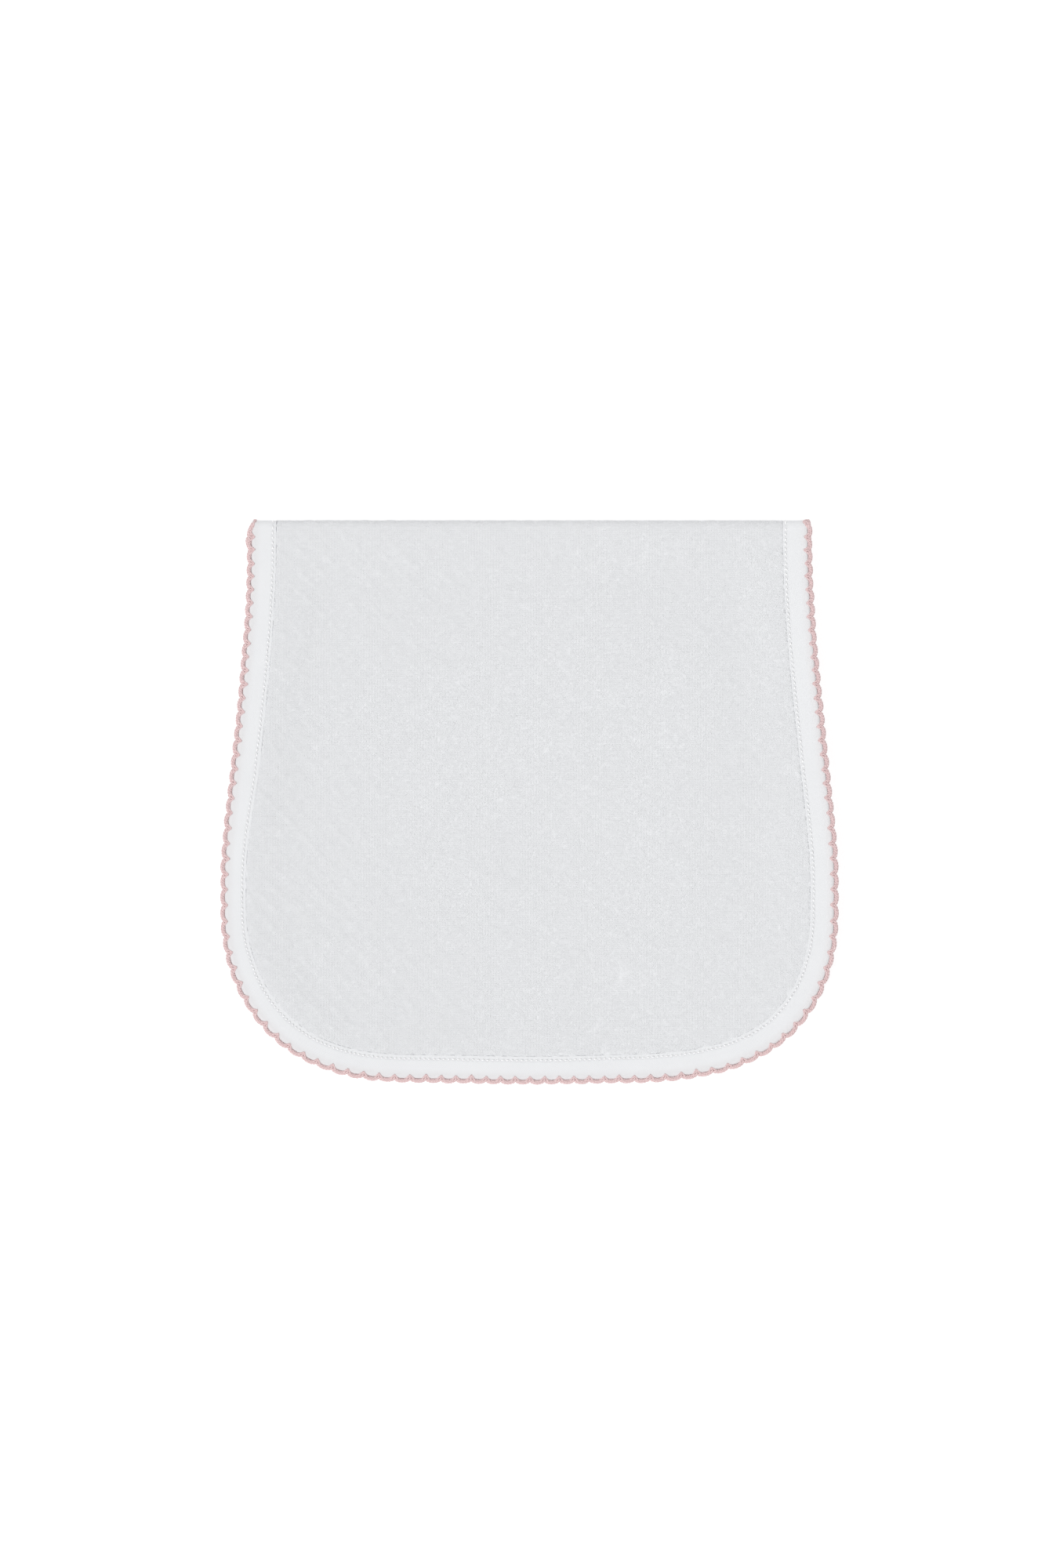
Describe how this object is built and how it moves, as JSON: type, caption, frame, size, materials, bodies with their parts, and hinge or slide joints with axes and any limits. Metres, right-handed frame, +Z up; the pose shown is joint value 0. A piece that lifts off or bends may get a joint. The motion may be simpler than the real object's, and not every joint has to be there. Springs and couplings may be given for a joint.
{
  "type": "burp cloth, folded",
  "caption": "Hourglass burp cloth with round ends, folded in half and lying flat, with a plain sewn binding and a scalloped crochet edging.",
  "frame": {"origin": "middle of the folded cloth's footprint, on the surface it lies on", "axes": "+X across the cloth, +Y from the round ends towards the fold, +Z up out of the front face"},
  "size_m": [0.2798, 0.2558, 0.0088],
  "materials": {
    "panel_cloth": "soft white cotton with a small raised puff figure, matt",
    "binding_cloth": "smooth plain white cotton, matt, one row of white topstitching",
    "edging_yarn": "dusty pink crochet cotton with a slight sheen"
  },
  "bodies": {
    "root": {"panel": "panel_cloth", "binding": "binding_cloth", "edging": "edging_yarn"}
  },
  "joints": []
}
